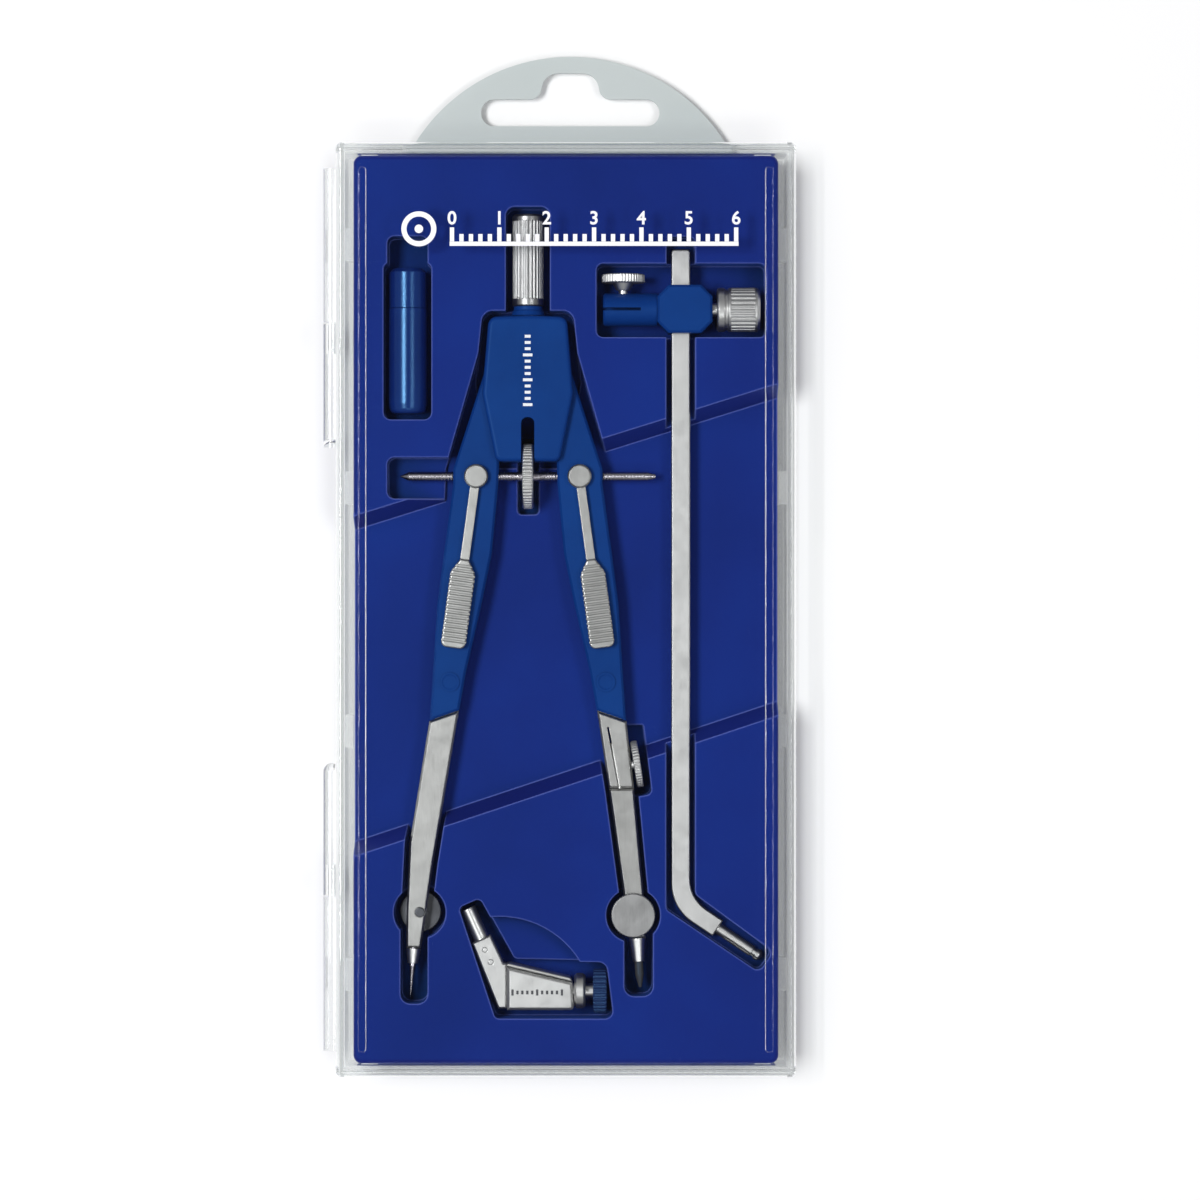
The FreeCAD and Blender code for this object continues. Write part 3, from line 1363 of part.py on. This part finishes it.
def check_model():
    """Stop on a failed object, a cut that removes nothing or a bad sub-part."""
    for item in doc.Objects:
        if "Invalid" in item.State or "Error" in item.State:
            raise RuntimeError(f"{item.Name} failed: {item.State}")
        removes = item.TypeId.startswith("PartDesign::Subtractive") or item.TypeId in (
            "PartDesign::Pocket", "PartDesign::Groove")
        if removes and item.Shape.Volume > item.BaseFeature.Shape.Volume - 1e-6:
            raise RuntimeError(f"{item.Name} cuts nothing in {item.getParentGroup()}")
    for item in sub_parts:
        if item.Shape.isNull() or not item.Shape.isValid() or not item.Shape.Solids:
            raise RuntimeError(f"{item.Label} has no valid solid")


check_model()
os.makedirs("parts", exist_ok=True)
for item in sub_parts:
    item.Shape.exportStep(f"parts/{item.Label}.step")
    print(f"{item.Label}: {len(item.Shape.Solids)} solid(s), {item.Shape.Volume:.1f} mm3")
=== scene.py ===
"""The looks of the drafting instrument case: materials, printed marks, camera, floor and light."""

import json
import math

import bmesh
import bpy
from mathutils import Matrix, Vector


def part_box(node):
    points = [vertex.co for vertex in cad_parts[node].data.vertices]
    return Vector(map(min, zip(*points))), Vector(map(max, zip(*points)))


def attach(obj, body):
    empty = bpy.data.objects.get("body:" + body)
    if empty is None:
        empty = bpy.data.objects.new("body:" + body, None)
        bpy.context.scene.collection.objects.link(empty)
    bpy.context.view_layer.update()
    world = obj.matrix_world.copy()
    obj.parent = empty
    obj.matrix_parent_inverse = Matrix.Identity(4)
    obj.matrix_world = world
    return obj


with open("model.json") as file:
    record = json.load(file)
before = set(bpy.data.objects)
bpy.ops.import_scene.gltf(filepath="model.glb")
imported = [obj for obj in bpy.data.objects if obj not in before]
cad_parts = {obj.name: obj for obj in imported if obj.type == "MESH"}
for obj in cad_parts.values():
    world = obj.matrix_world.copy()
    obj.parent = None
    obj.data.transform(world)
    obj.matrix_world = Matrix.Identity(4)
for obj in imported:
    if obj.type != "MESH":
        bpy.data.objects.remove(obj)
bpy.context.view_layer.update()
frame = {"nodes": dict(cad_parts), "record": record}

MM = 0.001
scene = bpy.context.scene

# ---------------------------------------------------------------- camera

CAMERA_PLACE = (0.00725, 0.00203, 1.0115)
LENS_MM = 140.6
SENSOR_MM = 36
NEAREST_SEEN = 0.01

camera_data = bpy.data.cameras.new("camera")
camera_data.lens = LENS_MM
camera_data.sensor_width = SENSOR_MM
camera_data.clip_start = NEAREST_SEEN
camera = bpy.data.objects.new("camera", camera_data)
camera.location = CAMERA_PLACE
scene.collection.objects.link(camera)
scene.camera = camera
scene.view_settings.view_transform = "Standard"


# ---------------------------------------------------------------- materials

# Lengths in materials are in metres. Noise scales are waves per metre.
METAL_EDGE = 0.3 * MM
PLASTIC_EDGE = 0.25 * MM
FLOCK_EDGE = 0.5 * MM
# how far the flock's painted shade looks for the tray's own walls
PAINTED_SHADE_REACH = 9 * MM
BRUSHED = (9000, 300, 9000)
KNURLED = (4000, 220, 4000)
EVEN_GRAIN = (2500, 2500, 2500)

class Shader:
    """A material's node tree with one Principled shader, and short ways to add nodes that feed it."""

    def __init__(self, name, **settings):
        self.material = bpy.data.materials.new(name)
        self.material.use_nodes = True
        self.tree = self.material.node_tree
        self.principled = self.tree.nodes["Principled BSDF"]
        self.output = self.tree.nodes["Material Output"]
        self.place = self.node("ShaderNodeTexCoord").outputs["Object"]
        self.rounded_normal = None
        for socket, value in settings.items():
            self.set(socket.replace("_", " "), value)

    def set(self, socket, value):
        """Sets the Principled input of this name, whatever its capital letters."""
        for candidate in self.principled.inputs:
            if candidate.name.lower() == socket.lower():
                candidate.default_value = value
                return
        raise KeyError(socket)

    def node(self, kind, **values):
        made = self.tree.nodes.new(kind)
        for key, value in values.items():
            setattr(made, key, value)
        return made

    def link(self, source, target):
        self.tree.links.new(source, target)

    def stretched(self, scale):
        """Object coordinates in metres, scaled per axis."""
        mapping = self.node("ShaderNodeMapping")
        mapping.inputs["Scale"].default_value = scale
        self.link(self.place, mapping.inputs["Vector"])
        return mapping.outputs["Vector"]

    def noise(self, scale, detail=3.0, roughness=0.5, vector=None):
        made = self.node("ShaderNodeTexNoise")
        made.inputs["Scale"].default_value = scale
        made.inputs["Detail"].default_value = detail
        made.inputs["Roughness"].default_value = roughness
        self.link(vector or self.place, made.inputs["Vector"])
        return made.outputs["Fac"]

    def ramp(self, source, stops):
        made = self.node("ShaderNodeValToRGB")
        while len(made.color_ramp.elements) < len(stops):
            made.color_ramp.elements.new(0.5)
        for element, (at, colour) in zip(made.color_ramp.elements, stops):
            element.position = at
            element.color = (*colour, 1)
        self.link(source, made.inputs["Fac"])
        return made.outputs["Color"]

    def span(self, source, low, high):
        """Maps a 0 to 1 source onto low to high."""
        made = self.node("ShaderNodeMapRange")
        made.inputs["To Min"].default_value = low
        made.inputs["To Max"].default_value = high
        self.link(source, made.inputs["Value"])
        return made.outputs["Result"]

    def colour_from(self, source):
        self.link(source, self.principled.inputs["Base Color"])

    def roughness_from(self, source):
        self.link(source, self.principled.inputs["Roughness"])

    def round_edges(self, radius):
        """Shades the piece as if its sharp edges had this small radius."""
        made = self.node("ShaderNodeBevel", samples=4)
        made.inputs["Radius"].default_value = radius
        self.rounded_normal = made.outputs["Normal"]
        return self.rounded_normal

    def mixed(self, factor, first, second, blend="MIX"):
        """Mixes two colours; each of the three is a socket or a plain value."""
        made = self.node("ShaderNodeMix", data_type="RGBA", blend_type=blend)
        for index, value in ((0, factor), (6, first), (7, second)):
            if isinstance(value, bpy.types.NodeSocket):
                self.link(value, made.inputs[index])
            else:
                made.inputs[index].default_value = value
        return made.outputs[2]

    def math(self, operation, first, second, use_clamp=False):
        made = self.node("ShaderNodeMath", operation=operation, use_clamp=use_clamp)
        self.link(first, made.inputs[0])
        self.link(second, made.inputs[1])
        return made.outputs["Value"]

    def bump(self, height, distance, strength):
        made = self.node("ShaderNodeBump")
        if self.rounded_normal is not None:
            self.link(self.rounded_normal, made.inputs["Normal"])
        made.inputs["Distance"].default_value = distance
        made.inputs["Strength"].default_value = strength
        self.link(height, made.inputs["Height"])
        self.link(made.outputs["Normal"], self.principled.inputs["Normal"])


def clear_plastic(name, clearness):
    """Clear moulded polystyrene; clearness below 1 is a slight haze.

    Shadow rays, and rays that bounce off what lies under the lid, pass straight through. So the
    tools and the tray are lit, and the metal doesn't mirror the lid's underside.
    """
    s = Shader(name, IOR=1.45, Transmission_Weight=clearness, Specular_IOR_Level=0.5)
    s.colour_from(s.ramp(s.noise(14, 2), [(0.3, (0.945, 0.955, 0.952)), (0.7, (0.96, 0.968, 0.965))]))
    s.roughness_from(s.span(s.noise(90, 3), 0.015, 0.05))
    clear = s.node("ShaderNodeBsdfTransparent")
    clear.inputs["Color"].default_value = (0.982, 0.987, 0.986, 1)
    path = s.node("ShaderNodeLightPath").outputs
    mirrored = s.math("SUBTRACT", path["Is Glossy Ray"], path["Is Transmission Ray"], use_clamp=True)
    bounced = s.math("MAXIMUM", path["Is Diffuse Ray"], mirrored)
    mix = s.node("ShaderNodeMixShader")
    s.link(s.math("MAXIMUM", path["Is Shadow Ray"], bounced), mix.inputs["Fac"])
    s.link(s.principled.outputs["BSDF"], mix.inputs[1])
    s.link(clear.outputs["BSDF"], mix.inputs[2])
    s.link(mix.outputs["Shader"], s.output.inputs["Surface"])
    return s.material


def frosted_plastic():
    s = Shader("frosted_tab", Transmission_Weight=0.25)
    s.colour_from(s.ramp(s.noise(25, 3), [(0.3, (0.59, 0.65, 0.645)), (0.7, (0.63, 0.685, 0.68))]))
    s.roughness_from(s.span(s.noise(600, 2), 0.42, 0.6))
    s.bump(s.noise(5000, 2), 0.02 * MM, 0.5)
    return s.material


def flock():
    """Blue flock: fine pile in uneven patches, with a painted pale highlight along its rounded edges and
    painted shade deep in the pockets.
    """
    s = Shader("blue_flock", Sheen_Weight=0.25, Sheen_Roughness=0.45, Specular_IOR_Level=0.5)
    s.set("Sheen Tint", (0.05, 0.16, 0.75, 1))
    s.set("Specular Tint", (0.05, 0.3, 1.0, 1))
    patches = s.noise(22, 3, 0.6)
    pile = s.noise(5200, 3, 0.65)
    mixed = s.node("ShaderNodeMix", data_type="FLOAT")
    mixed.inputs["Factor"].default_value = 0.3
    s.link(patches, mixed.inputs[2])
    s.link(pile, mixed.inputs[3])
    pile_colour = s.ramp(
        mixed.outputs[0],
        [(0.34, (0.006, 0.007, 0.12)), (0.5, (0.007, 0.010, 0.15)), (0.66, (0.007, 0.015, 0.18))],
    )
    # Painted shade: the flock's colour is made darker where the tray's own shape closes round it, in
    # pockets, gaps and trough corners.
    pocket_occlusion = s.node("ShaderNodeAmbientOcclusion", samples=6, only_local=True)
    pocket_occlusion.inputs["Distance"].default_value = PAINTED_SHADE_REACH
    painted_pocket_shade = s.ramp(pocket_occlusion.outputs["AO"], [(0.2, (0.08, 0.08, 0.10)), (0.75, (1, 1, 1))])
    shaded_pile_colour = s.mixed(1.0, pile_colour, painted_pocket_shade, "MULTIPLY")
    # Painted highlight: a pale blue line painted wherever the rounded edge normal leans away from the flat
    # one, along every rim of the pockets and troughs.
    fold = s.node("ShaderNodeVectorMath", operation="DOT_PRODUCT")
    s.link(s.round_edges(FLOCK_EDGE), fold.inputs[0])
    s.link(s.node("ShaderNodeNewGeometry").outputs["Normal"], fold.inputs[1])
    painted_highlight_mask = s.ramp(fold.outputs["Value"], [(0.93, (1, 1, 1)), (0.997, (0, 0, 0))])
    s.colour_from(s.mixed(painted_highlight_mask, shaded_pile_colour, (0.13, 0.17, 0.55, 1)))
    s.roughness_from(s.span(pile, 0.42, 0.56))
    s.bump(pile, 0.08 * MM, 0.5)
    return s.material


def moulded(name, low, high, rough, gloss=0.3):
    """Coloured moulded plastic with a fine moulded grain and small changes of colour."""
    s = Shader(name, Specular_IOR_Level=gloss)
    s.set("Specular Tint", (0.25, 0.6, 1.0, 1))
    s.round_edges(PLASTIC_EDGE)
    s.colour_from(s.ramp(s.noise(60, 4, 0.6), [(0.3, low), (0.7, high)]))
    s.roughness_from(s.span(s.noise(900, 3), rough - 0.06, rough + 0.08))
    s.bump(s.noise(7000, 2), 0.02 * MM, 0.6)
    return s.material


def plated(name, low, high, rough, grain):
    """Plated metal with streaks; grain is how fine they are along X, Y and Z."""
    s = Shader(name, Metallic=1.0)
    s.round_edges(METAL_EDGE)
    streaks = s.noise(1.0, 4, 0.6, s.stretched(grain))
    s.colour_from(s.ramp(streaks, [(0.3, low), (0.7, high)]))
    s.roughness_from(s.span(s.noise(260, 4, 0.7), rough - 0.08, rough + 0.1))
    s.bump(streaks, 0.012 * MM, 0.5)
    return s.material


def printed(name, low, high):
    """Slightly uneven screen-printed ink."""
    s = Shader(name, Specular_IOR_Level=0.3)
    s.colour_from(s.ramp(s.noise(2600, 3, 0.7), [(0.35, low), (0.65, high)]))
    s.roughness_from(s.span(s.noise(1500, 2), 0.5, 0.7))
    return s.material


def made_by_name(maker, *rows):
    return {name: maker(name, *values) for name, *values in rows}


MATERIALS = {
    "frosted_tab": frosted_plastic(),
    "blue_flock": flock(),
    **made_by_name(clear_plastic, ("clear_styrene", 1.0), ("clear_base", 0.78)),
    **made_by_name(
        moulded,
        ("blue_plastic", (0.001, 0.026, 0.17), (0.002, 0.036, 0.21), 0.42, 0.22),
        ("navy_plastic", (0.008, 0.018, 0.075), (0.012, 0.026, 0.10), 0.24, 1.0),
        ("blue_tube", (0.003, 0.014, 0.12), (0.004, 0.022, 0.155), 0.22, 0.8),
        ("graphite", (0.035, 0.035, 0.04), (0.06, 0.06, 0.065), 0.42),
    ),
    **made_by_name(
        plated,
        ("satin_nickel", (0.54, 0.54, 0.54), (0.60, 0.60, 0.60), 0.36, BRUSHED),
        ("leg_nickel", (0.37, 0.37, 0.365), (0.43, 0.43, 0.425), 0.34, BRUSHED),
        ("bright_nickel", (0.58, 0.58, 0.58), (0.64, 0.64, 0.64), 0.34, KNURLED),
        ("handle_nickel", (0.33, 0.33, 0.335), (0.38, 0.38, 0.385), 0.34, KNURLED),
        ("dark_nickel", (0.11, 0.115, 0.13), (0.14, 0.145, 0.16), 0.3, (2600, 2600, 2600)),
        ("pale_collar", (0.80, 0.80, 0.80), (0.92, 0.92, 0.92), 0.3, EVEN_GRAIN),
        ("needle_steel", (0.36, 0.34, 0.38), (0.50, 0.48, 0.52), 0.25, (9000, 400, 9000)),
    ),
}

# Pieces that look a little different from others with the same material in the record.
OVERRIDES = {
    "base_shell": "clear_base",
    "compass_handle": "handle_nickel",
    "lead_clamp_screw": "handle_nickel",
}

for part in frame["record"]["subparts"]:
    node = frame["nodes"][part["node"]]
    node.data.materials.clear()
    node.data.materials.append(MATERIALS[part["material_slot"]])
for node, slot in OVERRIDES.items():
    frame["nodes"][node].data.materials[0] = MATERIALS[slot]


# ---------------------------------------------------------------- printed marks


INK_THICKNESS = 0.02 * MM
RING_STEPS = 48


def ring_slices(x, y, outer, inner):
    """The outlines of a flat ring's slices."""
    for i in range(RING_STEPS):
        a, b = (2 * math.pi * k / RING_STEPS for k in (i, i + 1))
        yield [
            (x + radius * math.cos(angle), y + radius * math.sin(angle))
            for radius, angle in ((inner, a), (outer, a), (outer, b), (inner, b))
        ]


def text_mesh(word, height):
    """A word as a mesh as thick as the ink, centred on X = 0 and standing on Y = 0."""
    curve = bpy.data.curves.new("digit", "FONT")
    curve.body = word
    curve.size = height
    curve.align_x = "CENTER"
    curve.extrude = INK_THICKNESS / 2
    curve.offset = height * 0.02
    curve.resolution_u = 4
    holder = bpy.data.objects.new("digit", curve)
    scene.collection.objects.link(holder)
    bpy.context.view_layer.update()
    shape = bpy.data.meshes.new_from_object(holder.evaluated_get(bpy.context.evaluated_depsgraph_get()))
    bpy.data.objects.remove(holder)
    bpy.data.curves.remove(curve)
    return shape


def print_marks(name, body, material, level, rectangles, texts=(), rings=()):
    """A thin layer of ink that rides on a body, with its foot at this level.

    Rectangles are (x0, y0, x1, y1), texts (word, x, y, height) and rings (x, y, outer, inner).
    """
    mesh = bmesh.new()

    def prism(outline):
        low = [mesh.verts.new((x, y, level)) for x, y in outline]
        high = [mesh.verts.new((x, y, level + INK_THICKNESS)) for x, y in outline]
        mesh.faces.new(high)
        mesh.faces.new(list(reversed(low)))
        for i in range(len(outline)):
            j = (i + 1) % len(outline)
            mesh.faces.new((low[i], low[j], high[j], high[i]))

    for x0, y0, x1, y1 in rectangles:
        prism([(x0, y0), (x1, y0), (x1, y1), (x0, y1)])
    for ring in rings:
        for outline in ring_slices(*ring):
            prism(outline)
    for word, x, y, height in texts:
        shape = text_mesh(word, height)
        for vertex in shape.vertices:
            vertex.co += Vector((x, y, level + INK_THICKNESS / 2))
        mesh.from_mesh(shape)
        bpy.data.meshes.remove(shape)
    data = bpy.data.meshes.new(name)
    mesh.to_mesh(data)
    mesh.free()
    data.materials.append(material)
    piece = bpy.data.objects.new(name, data)
    scene.collection.objects.link(piece)
    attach(piece, body)


WHITE_INK = printed("white_ink", (0.86, 0.86, 0.92), (0.93, 0.93, 0.97))
DARK_INK = printed("dark_ink", (0.05, 0.05, 0.06), (0.09, 0.09, 0.10))

# the lid's ruler: a base line, a tick every 2 mm, a taller tick and a digit every 10 mm
RULER_LEFT, RULER_RIGHT, RULER_FOOT = -24.0 * MM, 36.0 * MM, 76.8 * MM
RULER_STEP, STEPS_PER_DIGIT = 2 * MM, 5
RULER_LINE, RULER_OVERHANG = 0.9 * MM, 0.5 * MM
TICK_START, TICK_HALF_WIDTH, TICK_SHORT, TICK_TALL = 0.85 * MM, 0.45 * MM, 2.5 * MM, 3.9 * MM
DIGIT_LIFT, DIGIT_HEIGHT = 4.6 * MM, 3.9 * MM
BADGE_X, BADGE_Y, BADGE_OUTER, BADGE_INNER, BADGE_DOT = -31 * MM, 80.4 * MM, 3.7 * MM, 2.6 * MM, 0.9 * MM
PINPOINT = 0.0001 * MM

ruler = [
    (RULER_LEFT - RULER_OVERHANG, RULER_FOOT, RULER_RIGHT + RULER_OVERHANG, RULER_FOOT + RULER_LINE)
]
digits = []
for i in range(round((RULER_RIGHT - RULER_LEFT) / RULER_STEP) + 1):
    x = RULER_LEFT + i * RULER_STEP
    on_digit = i % STEPS_PER_DIGIT == 0
    top = RULER_FOOT + (TICK_TALL if on_digit else TICK_SHORT)
    ruler.append((x - TICK_HALF_WIDTH, RULER_FOOT + TICK_START, x + TICK_HALF_WIDTH, top))
    if on_digit:
        digits.append((str(i // STEPS_PER_DIGIT), x, RULER_FOOT + DIGIT_LIFT, DIGIT_HEIGHT))
badge = [(BADGE_X, BADGE_Y, BADGE_OUTER, BADGE_INNER), (BADGE_X, BADGE_Y, BADGE_DOT, PINPOINT)]
_, lid_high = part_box("lid_shell")
print_marks("lid_scale_print", "lid", WHITE_INK, lid_high.z, ruler, digits, badge)

# a column of ticks on the compass head, every fourth one wider
HEAD_TICKS, HEAD_TICK_FOOT, HEAD_TICK_STEP, HEAD_TICK_HEIGHT = 12, 43.2 * MM, 1.32 * MM, 0.6 * MM
HEAD_TICK_WIDE, HEAD_TICK_NARROW = 1.0 * MM, 0.62 * MM

head_low, head_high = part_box("head_cap_front")
head_middle = (head_low.x + head_high.x) / 2
head_marks = []
for i in range(HEAD_TICKS):
    y = HEAD_TICK_FOOT + i * HEAD_TICK_STEP
    half = HEAD_TICK_WIDE if i % 4 == 0 else HEAD_TICK_NARROW
    head_marks.append((head_middle - half, y, head_middle + half, y + HEAD_TICK_HEIGHT))
print_marks("head_tick_print", "case_base", WHITE_INK, head_high.z, head_marks)

# a row of ticks on the adapter's body, every fifth one taller
ADAPTER_TICKS, ADAPTER_TICK_LEFT, ADAPTER_TICK_STEP = 11, -11.6 * MM, 1.05 * MM
ADAPTER_TICK_MIDDLE, ADAPTER_TICK_WIDTH = -81.4 * MM, 0.5 * MM
ADAPTER_TICK_TALL, ADAPTER_TICK_SHORT = 0.65 * MM, 0.4 * MM

adapter_marks = []
for i in range(ADAPTER_TICKS):
    x = ADAPTER_TICK_LEFT + i * ADAPTER_TICK_STEP
    half = ADAPTER_TICK_TALL if i % 5 == 0 else ADAPTER_TICK_SHORT
    adapter_marks.append((x, ADAPTER_TICK_MIDDLE - half, x + ADAPTER_TICK_WIDTH, ADAPTER_TICK_MIDDLE + half))
_, adapter_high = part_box("adapter_body")
print_marks("adapter_tick_print", "case_base", DARK_INK, adapter_high.z, adapter_marks)


# ---------------------------------------------------------------- floor and light

FLOOR_SIZE = 6
FLOOR_GAP = 0.2 * MM

bpy.ops.mesh.primitive_plane_add(size=FLOOR_SIZE, location=(0, 0, -FLOOR_GAP))
floor = bpy.context.object
floor.name = "floor"
paper = Shader("floor_paper", Roughness=0.9, Specular_IOR_Level=0.1)
paper.colour_from(paper.ramp(paper.noise(3, 2), [(0.3, (0.93, 0.93, 0.93)), (0.7, (0.94, 0.94, 0.94))]))
floor.data.materials.append(paper.material)


def softbox(name, place, width, length, watts):
    """A rectangular lamp aimed at the origin, with its length along the case."""
    data = bpy.data.lights.new(name, "AREA")
    data.shape = "RECTANGLE"
    data.size = width
    data.size_y = length
    data.energy = watts
    lamp = bpy.data.objects.new(name, data)
    lamp.location = place
    back = Vector(place).normalized()
    side = Vector((0, 1, 0)).cross(back).normalized()
    lamp.rotation_euler = Matrix((side, back.cross(side), back)).transposed().to_euler()
    scene.collection.objects.link(lamp)


softbox("key", (-0.52, 0.08, 1.17), 0.30, 0.50, 11.4)
softbox("side", (0.55, -0.05, 1.10), 0.25, 0.50, 2.7)
softbox("foot", (0.08, -0.60, 1.10), 0.6, 0.25, 1.5)

# The room is even, but dim straight overhead, so that the flat lid doesn't mirror a white ceiling.
# Each pair is the height of the direction (1 is straight up) and the brightness there.
SKY = [(0.955, 1.0), (0.988, 0.12)]
SKY_STRENGTH = 0.30
SKY_BLUE = 1.02
world = bpy.data.worlds.new("studio")
world.use_nodes = True
scene.world = world
sky = world.node_tree
background = sky.nodes["Background"]
coordinates = sky.nodes.new("ShaderNodeTexCoord")
parts = sky.nodes.new("ShaderNodeSeparateXYZ")
shade = sky.nodes.new("ShaderNodeValToRGB")
levels = shade.color_ramp.elements
for level, (height, tone) in zip(levels, SKY):
    level.position = height
    level.color = (tone, tone, tone * SKY_BLUE, 1)
sky.links.new(coordinates.outputs["Generated"], parts.inputs["Vector"])
sky.links.new(parts.outputs["Z"], shade.inputs["Fac"])
sky.links.new(shade.outputs["Color"], background.inputs["Color"])
background.inputs["Strength"].default_value = SKY_STRENGTH
